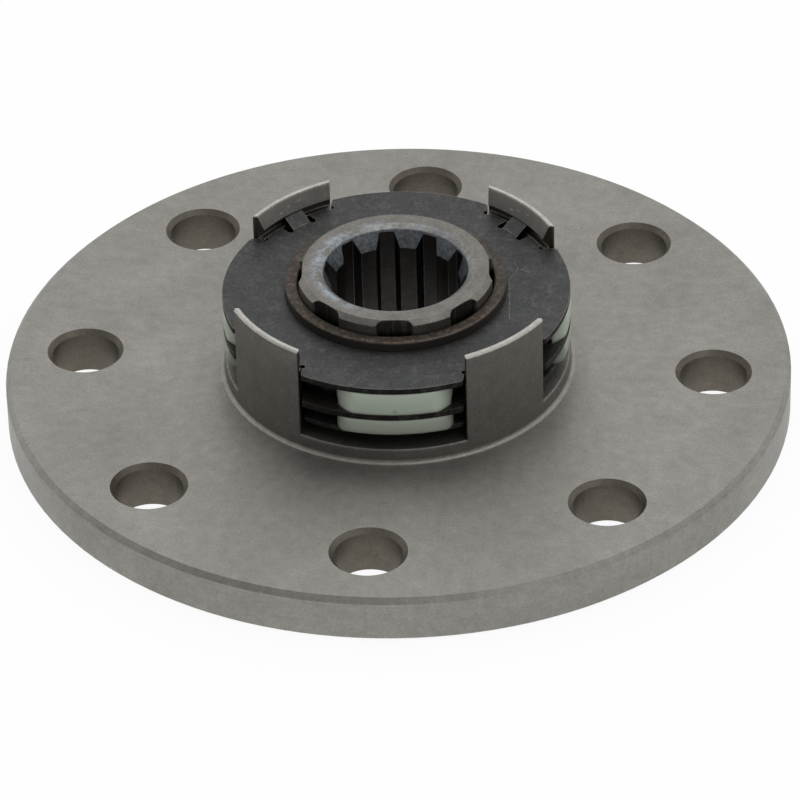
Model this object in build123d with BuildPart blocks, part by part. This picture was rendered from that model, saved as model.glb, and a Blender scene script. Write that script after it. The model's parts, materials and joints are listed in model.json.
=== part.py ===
import math
import os

from build123d import *

# Torsional damper of a driveline: a bolted flange whose four fingers hold a spring pack,
# and a splined hub that twists in it against four coil springs.
# Millimetres. The origin is the centre of the flange's underside, +Z runs along the axis
# towards the fingers. Angles are degrees anticlockwise from +X, seen from above.

# Flange
flange_thickness = 12.0
rim_top_chamfer = 2.0
rim_bottom_chamfer = 0.7
bolt_count = 8
bolt_circle_diameter = 160.0
bolt_edge_distance = 19.5
bolt_hole_diameter = 17.0
bolt_hole_chamfer = 1.2
boss_height = 4.0
boss_fillet = 1.7
boss_edge = 0.3
bore_edge = 1.0
bush_seat_depth = 10.0
bore_clearance = 1.15

# Fingers, which stand on the boss between the windows
window_count = 4
finger_wall = 2.9
finger_lip_wall = 1.35
finger_groove_wall = 1.4
finger_rise = 6.6
finger_edge = 0.5
finger_corner = 0.5
shoulder_rise = 2.3
groove_step = 0.3

# Hub
hub_wall = 6.7
hub_gap_depth = 1.25
hub_gap_width = 10.5
hub_gap_corner = 2.3
hub_gap_corner_share = 0.45
hub_gap_count = 8
hub_phase = 4.4
hub_rise = 6.6
hub_ground_gap = 1.0
hub_chamfer = 1.3
spline_count = 10
spline_minor_diameter = 32.4
spline_major_diameter = 36.0
spline_floor_width = 3.65
spline_flank_angle = 30.0
spline_phase = -5.5
spline_lead_angle = 25.0
spline_lead_clearance = 0.25
spline_mouth_width = 1.35
spline_mouth_depth = 0.95
spline_exit_chamfer = 1.5

# Coil springs and the white guides outside them
spring_outer_diameter = 10.4
spring_wire = 2.2
spring_length = 28.45
spring_turns = 5.5
spring_offset = 4.55
spring_headroom = 0.9
guide_bulge = 0.3
guide_upper_corner = 6.5
guide_upper_corner_radius = 9.0
guide_lower_corner = 3.0
guide_lower_corner_radius = 4.3
guide_web_inset = 0.3

# Plates, linings, bushes and disc spring
plate_thickness = 1.5
pressure_plate_thickness = 1.2
pressure_plate_inset = 1.5
drive_rim_width = 2.5
pocket_wall = 2.78
driven_plate_thickness = 3.0
driven_plate_inset = 0.8
lining_thickness = 0.45
lining_width = 2.2
pressure_lining_thickness = 0.75
bush_wall = 3.15
bush_rise = 2.7
bush_edge = 0.5
bush_collar = 1.1
lower_collar_thickness = 1.5
disc_spring_height = 3.5
disc_spring_thickness = 1.4
disc_spring_width = 9.0
lobe_corner = 1.0
relief_radius = 0.8
tongue_width = 5.5
tongue_slot = 1.7
tongue_reach = 3.2
tongue_grip = 0.35

# Clearances
running_fit = 0.05
axial_play = 0.05
seat_gap = 0.1
plate_gap = 0.3
key_gap = 0.4
groove_gap = 0.3
hub_gap = 0.6
twist_limit = 6.0
stop_play = 0.3
stop_tip_gap = 0.5

# Radii from the shaft outwards: spline, hub, bushes and linings
spline_minor_radius = spline_minor_diameter / 2
spline_major_radius = spline_major_diameter / 2
hub_radius = spline_major_radius + hub_wall
hub_root_radius = hub_radius - hub_gap_depth
bush_inner_radius = hub_radius + running_fit
bush_outer_radius = bush_inner_radius + bush_wall
bush_seat_radius = bush_outer_radius + running_fit
bush_collar_radius = bush_outer_radius + bush_collar
ring_inner_radius = hub_radius + hub_gap
hub_bore_radius = hub_radius + bore_clearance
lining_outer_radius = ring_inner_radius + lining_width

# The springs are straight coils round the linings, and the drive plate's rim goes round them
spring_radius = spring_outer_diameter / 2
pocket_inner = lining_outer_radius + plate_gap
pocket_length = spring_length + 2 * axial_play
spring_axis_radius = pocket_inner + key_gap + spring_radius
spring_end_radius = math.hypot(spring_axis_radius + spring_radius, spring_length / 2)
driven_radius = spring_axis_radius + spring_radius - driven_plate_inset
guide_inner = driven_radius + key_gap
guide_length = spring_length + 2 * seat_gap
rim_inner_radius = spring_end_radius + 2 * seat_gap
pack_radius = rim_inner_radius + drive_rim_width

# The fingers stand round the pack, inside the bolt circle
finger_inner_radius = pack_radius - finger_wall
groove_radius = pack_radius - finger_groove_wall
notch_radius = finger_inner_radius - plate_gap
flange_radius = bolt_circle_diameter / 2 + bolt_edge_distance

# Heights, from the flange's underside up through the pack
flange_top = flange_thickness
boss_top = flange_top + boss_height
pressure_plate_bottom = boss_top + disc_spring_height
chamber_bottom = pressure_plate_bottom + pressure_plate_thickness
spring_axis_height = chamber_bottom + spring_headroom + spring_radius
chamber_top = spring_axis_height + spring_radius + spring_headroom
lower_driven_bottom = chamber_bottom + pressure_lining_thickness + axial_play
lower_driven_top = lower_driven_bottom + driven_plate_thickness
drive_plate_bottom = lower_driven_top + axial_play + lining_thickness
drive_plate_top = drive_plate_bottom + plate_thickness
upper_driven_bottom = drive_plate_top + lining_thickness + axial_play
upper_driven_top = upper_driven_bottom + driven_plate_thickness
collar_bottom = upper_driven_top + axial_play
plate_top = chamber_top + plate_thickness
shoulder_height = plate_top + shoulder_rise
finger_top = plate_top + finger_rise
bush_top = plate_top + bush_rise
hub_top = plate_top + hub_rise
hub_bottom = hub_ground_gap

# Angles: the first bolt hole and the first window face -Y, and fingers stand between windows
first_angle = -90.0
window_step = 360.0 / window_count
window_angles = [first_angle + window_step * index for index in range(window_count)]
finger_angles = [angle + window_step / 2 for angle in window_angles]
spring_angles = [angle + spring_offset for angle in window_angles]
pocket_corner_angle = math.degrees(math.asin(pocket_length / 2 / rim_inner_radius))
pocket_corner_turn = math.radians(spring_offset + pocket_corner_angle)

# Half widths across the windows, whose two sides run parallel, and across the plates' lobes
lobe_half_width = rim_inner_radius * math.sin(pocket_corner_turn) + pocket_wall
window_half_width = lobe_half_width + key_gap
relief_angle = window_step / 2 - math.degrees(math.asin(lobe_half_width / notch_radius))


def outward(angle):
    """Level direction that points away from the axis at an angle."""
    return Vector(math.cos(math.radians(angle)), math.sin(math.radians(angle)), 0)


def radial_plane(angle):
    """Upright plane through the axis, with x outwards at the angle and y up."""
    return Plane(origin=(0, 0, 0), x_dir=outward(angle), z_dir=outward(angle - 90))


def level_plane(height, angle=0.0):
    """Level plane at a height, with x outwards at the angle."""
    return Plane(origin=(0, 0, height), x_dir=outward(angle), z_dir=(0, 0, 1))


def tangent_plane(angle, start):
    """Plane across a spring's axis, a distance from the spring's middle, with x outwards."""
    middle = outward(angle) * spring_axis_radius + Vector(0, 0, spring_axis_height)
    along = outward(angle + 90)
    return Plane(origin=middle + along * start, x_dir=outward(angle), z_dir=along)


def ring_section(inner, outer, bottom, top):
    """Rectangular section of a flat ring, in the sketch that is open."""
    with Locations(((inner + outer) / 2, (bottom + top) / 2)):
        return Rectangle(outer - inner, top - bottom)


def between_windows(half_width, mode):
    """Wedge along +X between two neighbouring windows that are a half width to each side."""
    point = half_width / math.sin(math.radians(window_step / 2))
    side = flange_radius * outward(window_step / 2)
    corners = ((point, 0), (point + side.X, -side.Y), (point + side.X, side.Y))
    Polygon(*corners, align=None, mode=mode)


def keyed_outline(radius, bore_radius):
    """Plate outline with a notch round each finger and a lobe in each window."""
    with BuildSketch() as outline:
        Circle(radius)
        with PolarLocations(0, window_count, start_angle=finger_angles[0]):
            between_windows(lobe_half_width, Mode.SUBTRACT)
        points = outline.vertices()
        fillet([point for point in points if math.hypot(point.X, point.Y) > notch_radius], lobe_corner)
        Circle(notch_radius)
        Circle(bore_radius, mode=Mode.SUBTRACT)
    return outline.sketch


def hub_gap_bars(width, tip_radius, mode):
    """Rounded bars shaped like the gaps between the hub's teeth, reaching in to a radius."""
    length = hub_gap_depth + 2 * hub_gap_corner
    corner = min(hub_gap_corner, hub_gap_corner_share * width)
    with PolarLocations(tip_radius + length / 2, hub_gap_count, start_angle=hub_phase):
        RectangleRounded(length, width, corner, mode=mode)


def spring_pockets(outer_radius):
    """Pockets in which the springs lie, open outwards as far as a radius."""
    with BuildSketch() as pockets:
        middle = (pocket_inner + outer_radius) / 2
        with PolarLocations(middle, window_count, start_angle=spring_angles[0]):
            Rectangle(outer_radius - pocket_inner, pocket_length)
        Circle(outer_radius, mode=Mode.INTERSECT)
    return pockets.sketch


def finger(angle):
    """Upright finger with a groove under its lip, rounded along its outer edges."""
    root = boss_top - boss_height / 2
    with BuildPart() as piece:
        with BuildSketch(radial_plane(angle)):
            with BuildLine():
                Polyline(
                    (finger_inner_radius, root),
                    (pack_radius, root),
                    (pack_radius, finger_top - finger_edge),
                    (pack_radius - finger_edge, finger_top),
                    (pack_radius - finger_lip_wall, finger_top),
                    (finger_inner_radius, shoulder_height),
                    (groove_radius, shoulder_height),
                    (groove_radius, plate_top - groove_step),
                    (finger_inner_radius, plate_top - groove_step),
                    close=True,
                )
            make_face()
        revolve(axis=Axis.Z)
        with BuildSketch(level_plane(root, angle)) as plan:
            Circle(pack_radius)
            between_windows(window_half_width, Mode.INTERSECT)
            fillet(plan.vertices().sort_by_distance((0, 0))[-2:], finger_corner)
        extrude(amount=finger_top - root, mode=Mode.INTERSECT)
    return piece.part


os.makedirs("parts", exist_ok=True)

# Flange, turned in one piece with the boss and its four fingers
fingers = [finger(angle) for angle in finger_angles]
with BuildPart() as flange:
    fillet_radius = min(boss_fillet, boss_height - 2 * boss_edge)
    with BuildSketch(Plane.XZ):
        with BuildLine():
            foot = Polyline(
                (pack_radius + fillet_radius, flange_top),
                (flange_radius - rim_top_chamfer, flange_top),
                (flange_radius, flange_top - rim_top_chamfer),
                (flange_radius, rim_bottom_chamfer),
                (flange_radius - rim_bottom_chamfer, 0),
                (hub_bore_radius + bore_edge, 0),
                (hub_bore_radius, bore_edge),
                (hub_bore_radius, boss_top - bush_seat_depth),
                (bush_seat_radius, boss_top - bush_seat_depth),
                (bush_seat_radius, boss_top),
                (pack_radius - boss_edge, boss_top),
                (pack_radius, boss_top - boss_edge),
                (pack_radius, flange_top + fillet_radius),
            )
            RadiusArc(foot @ 1, foot @ 0, fillet_radius)
        make_face()
    revolve(axis=Axis.Z)
    add(fingers)
    with Locations(level_plane(flange_top)):
        with PolarLocations(bolt_circle_diameter / 2, bolt_count, start_angle=first_angle):
            CounterSinkHole(
                radius=bolt_hole_diameter / 2,
                counter_sink_radius=bolt_hole_diameter / 2 + bolt_hole_chamfer,
                depth=flange_thickness,
                counter_sink_angle=90,
            )
flange.part.label = "flange"
export_step(flange.part, "parts/flange.step")

# Hub with shallow outer gaps for the driven plates and an inner spline for the shaft, whose
# grooves narrow towards their floors and start at a steep lead cone
with BuildPart() as hub:
    with BuildSketch(level_plane(hub_bottom)):
        Circle(hub_radius)
        hub_gap_bars(hub_gap_width, hub_root_radius, Mode.SUBTRACT)
    extrude(amount=hub_top - hub_bottom)
    with BuildSketch(level_plane(hub_bottom)):
        floor_half = spline_floor_width / 2
        root_half = floor_half + spline_major_radius * math.tan(math.radians(spline_flank_angle))
        with PolarLocations(0, spline_count, start_angle=spline_phase):
            Polygon(
                (0, -root_half),
                (spline_major_radius, -floor_half),
                (spline_major_radius, floor_half),
                (0, root_half),
                align=None,
            )
        Circle(spline_major_radius, mode=Mode.INTERSECT)
        Circle(spline_minor_radius)
    extrude(amount=hub_top - hub_bottom, mode=Mode.SUBTRACT)
    with BuildSketch(Plane.XZ):
        lead_radius = spline_major_radius + spline_lead_clearance
        lead_top = hub_top - spline_mouth_depth
        exit_radius = spline_major_radius + spline_exit_chamfer
        with BuildLine():
            Polyline(
                (0, hub_top),
                (lead_radius + spline_mouth_width, hub_top),
                (lead_radius, lead_top),
                (0, lead_top - lead_radius / math.tan(math.radians(spline_lead_angle))),
                close=True,
            )
        make_face()
        with BuildLine():
            Polyline((0, hub_bottom), (exit_radius, hub_bottom), (0, hub_bottom + exit_radius), close=True)
        make_face()
        for face, step in ((hub_top, -hub_chamfer), (hub_bottom, hub_chamfer)):
            with BuildLine():
                Polyline(
                    (hub_radius - hub_chamfer, face),
                    (hub_radius + hub_chamfer, face),
                    (hub_radius + hub_chamfer, face + 2 * step),
                    (hub_radius, face + step),
                    close=True,
                )
            make_face()
    revolve(axis=Axis.Z, mode=Mode.SUBTRACT)
hub.part.label = "hub"
export_step(hub.part, "parts/hub.step")

# Flanged bush in the flange's bore, below the pack
with BuildPart() as lower_bush:
    with BuildSketch(Plane.XZ):
        ring_section(bush_inner_radius, bush_outer_radius, boss_top - bush_seat_depth, boss_top)
        ring_section(
            bush_inner_radius, bush_collar_radius, boss_top, boss_top + lower_collar_thickness
        )
    revolve(axis=Axis.Z)
lower_bush.part.label = "lower_bush"
export_step(lower_bush.part, "parts/lower_bush.step")

# Disc spring, which presses the pack together
with BuildPart() as disc_spring:
    disc_inner = bush_collar_radius + hub_gap
    disc_outer = disc_inner + disc_spring_width
    with BuildSketch(Plane.XZ):
        with BuildLine():
            Polyline(
                (disc_inner, boss_top),
                (disc_outer, pressure_plate_bottom - disc_spring_thickness),
                (disc_outer, pressure_plate_bottom),
                (disc_inner, boss_top + disc_spring_thickness),
                close=True,
            )
        make_face()
    revolve(axis=Axis.Z)
disc_spring.part.label = "disc_spring"
export_step(disc_spring.part, "parts/disc_spring.step")

# Pressure plate on the disc spring, keyed to the fingers
with BuildPart() as pressure_plate:
    with BuildSketch(level_plane(pressure_plate_bottom)):
        add(keyed_outline(pack_radius - pressure_plate_inset, ring_inner_radius))
    extrude(amount=pressure_plate_thickness)
pressure_plate.part.label = "pressure_plate"
export_step(pressure_plate.part, "parts/pressure_plate.step")

# Friction linings between the plates that turn against each other
with BuildPart() as pressure_lining:
    with BuildSketch(Plane.XZ):
        ring_section(
            ring_inner_radius,
            lining_outer_radius,
            chamber_bottom,
            chamber_bottom + pressure_lining_thickness,
        )
    revolve(axis=Axis.Z)
pressure_lining.part.label = "pressure_lining"
export_step(pressure_lining.part, "parts/pressure_lining.step")

with BuildPart() as lower_lining:
    with BuildSketch(Plane.XZ):
        ring_section(
            ring_inner_radius,
            lining_outer_radius,
            drive_plate_bottom - lining_thickness,
            drive_plate_bottom,
        )
    revolve(axis=Axis.Z)
lower_lining.part.label = "lower_lining"
export_step(lower_lining.part, "parts/lower_lining.step")

with BuildPart() as upper_lining:
    with BuildSketch(Plane.XZ):
        ring_section(
            ring_inner_radius,
            lining_outer_radius,
            drive_plate_top,
            drive_plate_top + lining_thickness,
        )
    revolve(axis=Axis.Z)
upper_lining.part.label = "upper_lining"
export_step(upper_lining.part, "parts/upper_lining.step")


def driven_outline():
    """Four arms between the springs, with inner teeth that fill the hub's gaps."""
    with BuildSketch() as outline:
        Circle(driven_radius)
        Circle(bush_inner_radius, mode=Mode.SUBTRACT)
        hub_gap_bars(hub_gap_width - 2 * running_fit, hub_root_radius + running_fit, Mode.ADD)
        add(spring_pockets(pack_radius), mode=Mode.SUBTRACT)
    return outline.sketch


# Driven plates, which turn with the hub and push the springs
with BuildPart() as lower_driven_plate:
    with BuildSketch(level_plane(lower_driven_bottom)):
        add(driven_outline())
    extrude(amount=driven_plate_thickness)
lower_driven_plate.part.label = "lower_driven_plate"
export_step(lower_driven_plate.part, "parts/lower_driven_plate.step")

with BuildPart() as upper_driven_plate:
    with BuildSketch(level_plane(upper_driven_bottom)):
        add(driven_outline())
    extrude(amount=driven_plate_thickness)
upper_driven_plate.part.label = "upper_driven_plate"
export_step(upper_driven_plate.part, "parts/upper_driven_plate.step")

# Drive plate in the middle, keyed to the fingers, with a pocket for each spring
# and loose inner teeth that stop the twist in the hub's gaps
with BuildPart() as drive_plate:
    twist_travel = hub_radius * math.radians(twist_limit)
    stop_width = hub_gap_width - 2 * (twist_travel + stop_play)
    with BuildSketch(level_plane(drive_plate_bottom)):
        add(keyed_outline(pack_radius, hub_radius + key_gap))
        hub_gap_bars(stop_width, hub_root_radius + stop_tip_gap, Mode.ADD)
        add(spring_pockets(rim_inner_radius), mode=Mode.SUBTRACT)
    extrude(amount=plate_thickness)
drive_plate.part.label = "drive_plate"
export_step(drive_plate.part, "parts/drive_plate.step")

# Flanged bush round the hub's upper end, held down by the retaining plate
with BuildPart() as upper_bush:
    with BuildSketch(Plane.XZ) as section:
        ring_section(bush_inner_radius, bush_collar_radius, collar_bottom, chamber_top)
        ring_section(bush_inner_radius, bush_outer_radius, collar_bottom, bush_top)
        fillet(section.vertices().group_by(Axis.Y)[-1], bush_edge)
    revolve(axis=Axis.Z)
upper_bush.part.label = "upper_bush"
export_step(upper_bush.part, "parts/upper_bush.step")

# Retaining plate: four tongues, bent up, lock in the grooves of the fingers
with BuildPart() as retaining_plate:
    tongue_root = finger_inner_radius - tongue_reach
    tongue_tip = finger_inner_radius + tongue_grip
    tongue_rise = shoulder_rise - seat_gap
    tongue_angle = math.atan2(tongue_rise, tongue_tip - tongue_root)
    under_tip = (
        tongue_tip + plate_thickness * math.sin(tongue_angle),
        plate_top + tongue_rise - plate_thickness * math.cos(tongue_angle),
    )
    under_root = tongue_root + plate_thickness * math.tan(tongue_angle / 2)
    with BuildSketch(level_plane(chamber_top)):
        add(keyed_outline(pack_radius, bush_seat_radius))
        for side in (-1, 1):
            side_angle = finger_angles[0] + side * relief_angle
            with PolarLocations(notch_radius, window_count, start_angle=side_angle):
                Circle(relief_radius, mode=Mode.SUBTRACT)
            for angle in finger_angles:
                slot_end = outward(angle) * tongue_root
                slot_side = outward(angle + 90) * side * (tongue_width + tongue_slot) / 2
                with Locations(slot_end + slot_side):
                    Circle(tongue_slot / 2, mode=Mode.SUBTRACT)
        cut_length = finger_inner_radius - tongue_root
        with PolarLocations(tongue_root + cut_length / 2, window_count, start_angle=finger_angles[0]):
            Rectangle(cut_length, tongue_width + 2 * tongue_slot, mode=Mode.SUBTRACT)
    extrude(amount=plate_thickness)
    for angle in finger_angles:
        with BuildSketch(radial_plane(angle)):
            with BuildLine():
                Polyline(
                    (tongue_root - plate_thickness, chamber_top),
                    (under_root, chamber_top),
                    under_tip,
                    (tongue_tip, plate_top + tongue_rise),
                    (tongue_root, plate_top),
                    (tongue_root - plate_thickness, plate_top),
                    close=True,
                )
            make_face()
        extrude(amount=tongue_width / 2, both=True)
retaining_plate.part.label = "retaining_plate"
export_step(retaining_plate.part, "parts/retaining_plate.step")

# Coil springs with ground ends, one in each pocket
for index, angle in enumerate(spring_angles):
    start_plane = tangent_plane(angle, -spring_length / 2)
    with BuildPart() as spring:
        with BuildLine() as coil:
            Helix(
                pitch=spring_length / spring_turns,
                height=spring_length,
                radius=spring_radius - spring_wire / 2,
                center=start_plane.origin,
                direction=start_plane.z_dir,
            )
        with BuildSketch(Plane(origin=coil.line @ 0, z_dir=coil.line % 0)):
            Circle(spring_wire / 2)
        sweep(path=coil.line, is_frenet=True)
        with BuildSketch(start_plane):
            Circle(spring_radius + spring_wire)
        extrude(amount=spring_length, mode=Mode.INTERSECT)
    spring.part.label = f"spring_{index + 1}"
    export_step(spring.part, f"parts/spring_{index + 1}.step")

# Guides outside the springs: an upper and a lower lip that straddle the drive plate's rim
upper_lip_bottom = drive_plate_top + axial_play
upper_lip_top = chamber_top - seat_gap
lower_lip_top = drive_plate_bottom - axial_play
guide_lips = ((chamber_bottom, lower_lip_top), (upper_lip_bottom, upper_lip_top))
guide_edge_radius = pack_radius - seat_gap


def lip_outline(corner, corner_radius):
    """Lip seen from above, with each end rounded off over a length by an arc of a radius."""
    outer = pack_radius + guide_bulge
    half = guide_length / 2
    turn = (math.sqrt(outer**2 - (half - corner) ** 2), half - corner)
    with BuildSketch() as outline:
        with BuildLine():
            RadiusArc((turn[0], -turn[1]), (guide_inner, -half), corner_radius)
            ThreePointArc((turn[0], -turn[1]), (outer, 0), turn)
            RadiusArc((guide_inner, half), turn, corner_radius)
            Line((guide_inner, half), (guide_inner, -half))
        make_face()
    return outline.sketch


for index, angle in enumerate(spring_angles):
    with BuildPart() as guide:
        with BuildSketch(level_plane(chamber_bottom, angle)):
            add(lip_outline(guide_lower_corner, guide_lower_corner_radius))
        extrude(amount=lower_lip_top - chamber_bottom)
        with BuildSketch(level_plane(upper_lip_bottom, angle)):
            add(lip_outline(guide_upper_corner, guide_upper_corner_radius))
        extrude(amount=upper_lip_top - upper_lip_bottom)
        with BuildSketch(level_plane(lower_lip_top, angle)):
            with Locations((guide_inner, 0)):
                web_length = guide_length - 2 * guide_web_inset
                Rectangle(pack_radius, web_length, align=(Align.MIN, Align.CENTER))
            Circle(rim_inner_radius - seat_gap, mode=Mode.INTERSECT)
        extrude(amount=upper_lip_bottom - lower_lip_top)
        with BuildSketch(radial_plane(angle)):
            with BuildLine():
                for bottom, top in guide_lips:
                    ThreePointArc(
                        (guide_edge_radius, bottom),
                        (guide_edge_radius + guide_bulge, (bottom + top) / 2),
                        (guide_edge_radius, top),
                    )
                Line((guide_edge_radius, lower_lip_top), (guide_edge_radius, upper_lip_bottom))
                Polyline(
                    (guide_edge_radius, upper_lip_top),
                    (0, upper_lip_top),
                    (0, chamber_bottom),
                    (guide_edge_radius, chamber_bottom),
                )
            make_face()
        revolve(axis=Axis.Z, mode=Mode.INTERSECT)
        with BuildSketch(tangent_plane(angle, 0)):
            Circle(spring_radius + groove_gap)
        extrude(amount=guide_length, both=True, mode=Mode.SUBTRACT)
    guide.part.label = f"guide_{index + 1}"
    export_step(guide.part, f"parts/guide_{index + 1}.step")
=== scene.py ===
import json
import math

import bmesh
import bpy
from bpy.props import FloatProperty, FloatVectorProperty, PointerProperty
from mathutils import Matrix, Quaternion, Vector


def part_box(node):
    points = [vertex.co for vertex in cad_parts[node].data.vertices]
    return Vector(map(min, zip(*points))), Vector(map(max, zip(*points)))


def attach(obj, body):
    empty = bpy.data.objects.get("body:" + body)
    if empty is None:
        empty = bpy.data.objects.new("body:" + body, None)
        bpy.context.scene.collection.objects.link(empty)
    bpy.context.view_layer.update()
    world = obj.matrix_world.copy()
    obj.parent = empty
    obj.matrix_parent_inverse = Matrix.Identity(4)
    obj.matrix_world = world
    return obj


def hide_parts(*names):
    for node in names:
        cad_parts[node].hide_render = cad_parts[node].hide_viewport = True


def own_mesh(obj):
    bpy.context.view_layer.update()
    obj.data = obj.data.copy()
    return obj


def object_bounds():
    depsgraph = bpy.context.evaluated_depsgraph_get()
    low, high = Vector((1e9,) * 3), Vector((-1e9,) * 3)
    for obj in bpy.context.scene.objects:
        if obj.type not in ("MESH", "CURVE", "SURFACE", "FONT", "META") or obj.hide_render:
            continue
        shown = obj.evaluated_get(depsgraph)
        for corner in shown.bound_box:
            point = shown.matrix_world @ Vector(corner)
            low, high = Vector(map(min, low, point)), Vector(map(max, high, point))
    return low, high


bl_info = {
    "name": "Torsional Damper",
    "version": (1, 0, 0),
    "blender": (4, 5, 0),
    "location": "3D View > Sidebar > Damper",
    "description": "Dresses a flanged torsional damper: ground steel, worn plates, coil springs and guides",
    "category": "Object",
}

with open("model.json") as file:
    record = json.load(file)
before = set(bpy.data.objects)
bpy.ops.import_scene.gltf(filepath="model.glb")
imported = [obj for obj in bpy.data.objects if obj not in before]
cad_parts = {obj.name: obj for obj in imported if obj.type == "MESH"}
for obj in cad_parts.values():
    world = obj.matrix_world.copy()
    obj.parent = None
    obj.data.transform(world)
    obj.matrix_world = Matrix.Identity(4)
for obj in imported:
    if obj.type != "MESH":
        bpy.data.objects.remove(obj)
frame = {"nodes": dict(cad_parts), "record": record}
cad_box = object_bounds()


def reach(node):
    """Largest distance of a CAD node's points from the damper's axis."""
    return max(vertex.co.xy.length for vertex in frame["nodes"][node].data.vertices)


# Bodies, counts and places that the operators share, in metres, taken from the frame where it has them
AXIS = Vector((0, 0, 1))
HOUSING = "housing"
BOLT_PATTERN = next(m for m in frame["record"]["mounts"] if m["kind"] == "bolt_pattern")
BOLT_COUNT = BOLT_PATTERN["dims"]["count"]
BOLT_CIRCLE = BOLT_PATTERN["dims"]["pcd_mm"] / 2000
HOLE_RADIUS = BOLT_PATTERN["dims"]["hole_r_mm"] / 1000
FLANGE_RADIUS = cad_box[1].x
FLANGE_TOP = 0.012
BOSS_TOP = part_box("disc_spring")[0].z
FINGER_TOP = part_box("flange")[1].z
PLATE_THICKNESS = 0.0015
PLATE_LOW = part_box("retaining_plate")[0].z
PLATE_TOP = PLATE_LOW + PLATE_THICKNESS
PACK_RADIUS = reach("retaining_plate")
SPRING_COUNT = 4

# Angle of the first window's middle, and how far round from it its spring and guide lie
WINDOW_ANGLE = -math.pi / 2
SPRING_TURN = math.radians(4.55)

# Radius that the metal's edges are rounded to
EDGE = 0.0003

# Kinds of ray that see the floor as plain white
SEEN_RAYS = ("Is Camera Ray", "Is Glossy Ray", "Is Transmission Ray")


class Signal:
    """An output socket of a shader node, on which Python's sums add Math nodes."""

    def __init__(self, nodes, socket):
        self.nodes = nodes
        self.socket = socket

    def math(self, operation, *values):
        return self.nodes.node("ShaderNodeMath", {"operation": operation}, dict(enumerate(values)))

    def __add__(self, other):
        return self.math("ADD", self, other)

    def __sub__(self, other):
        return self.math("SUBTRACT", self, other)

    def __rsub__(self, other):
        return self.math("SUBTRACT", other, self)

    def __mul__(self, other):
        return self.math("MULTIPLY", self, other)

    def __truediv__(self, other):
        return self.math("DIVIDE", self, other)

    def __pow__(self, other):
        return self.math("POWER", self, other)

    def __abs__(self):
        return self.math("ABSOLUTE", self)

    __radd__ = __add__
    __rmul__ = __mul__

    def over(self, other):
        """The larger of two values."""
        return self.math("MAXIMUM", self, other)

    def step(self, low, high):
        """0 below low, 1 above high, smooth between; with low above high it falls instead."""
        if low > high:
            return 1 - self.step(high, low)
        settings = {"interpolation_type": "SMOOTHSTEP"}
        return self.nodes.node("ShaderNodeMapRange", settings, {0: self, 1: low, 2: high, 3: 0.0, 4: 1.0})

    def band(self, low, high, soft):
        """1 between low and high, with edges this soft."""
        return self.step(low - soft, low) * self.step(high + soft, high)


class Nodes:
    """A node tree in the making, for a material or for the world."""

    def __init__(self, tree):
        self.tree = tree

    def node(self, kind, settings=None, inputs=None, output=0):
        """Adds a node, sets it, fills its sockets with values or links, and gives one output."""
        made = self.tree.nodes.new(kind)
        for name, value in (settings or {}).items():
            setattr(made, name, value)
        for name, value in (inputs or {}).items():
            self.fill(made.inputs[name], value)
        return Signal(self, made.outputs[output])

    def fill(self, socket, value):
        """Links a signal to a socket, or sets the socket's own value."""
        if isinstance(value, Signal):
            self.tree.links.new(value.socket, socket)
        elif value is not None:
            socket.default_value = value

    def parts(self, vector):
        return [self.node("ShaderNodeSeparateXYZ", inputs={0: vector}, output=index) for index in range(3)]

    def vector(self, x, y, z):
        return self.node("ShaderNodeCombineXYZ", inputs={0: x, 1: y, 2: z})

    def dot(self, first, second):
        inputs = {0: first, 1: second}
        return self.node("ShaderNodeVectorMath", {"operation": "DOT_PRODUCT"}, inputs, output="Value")


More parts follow.
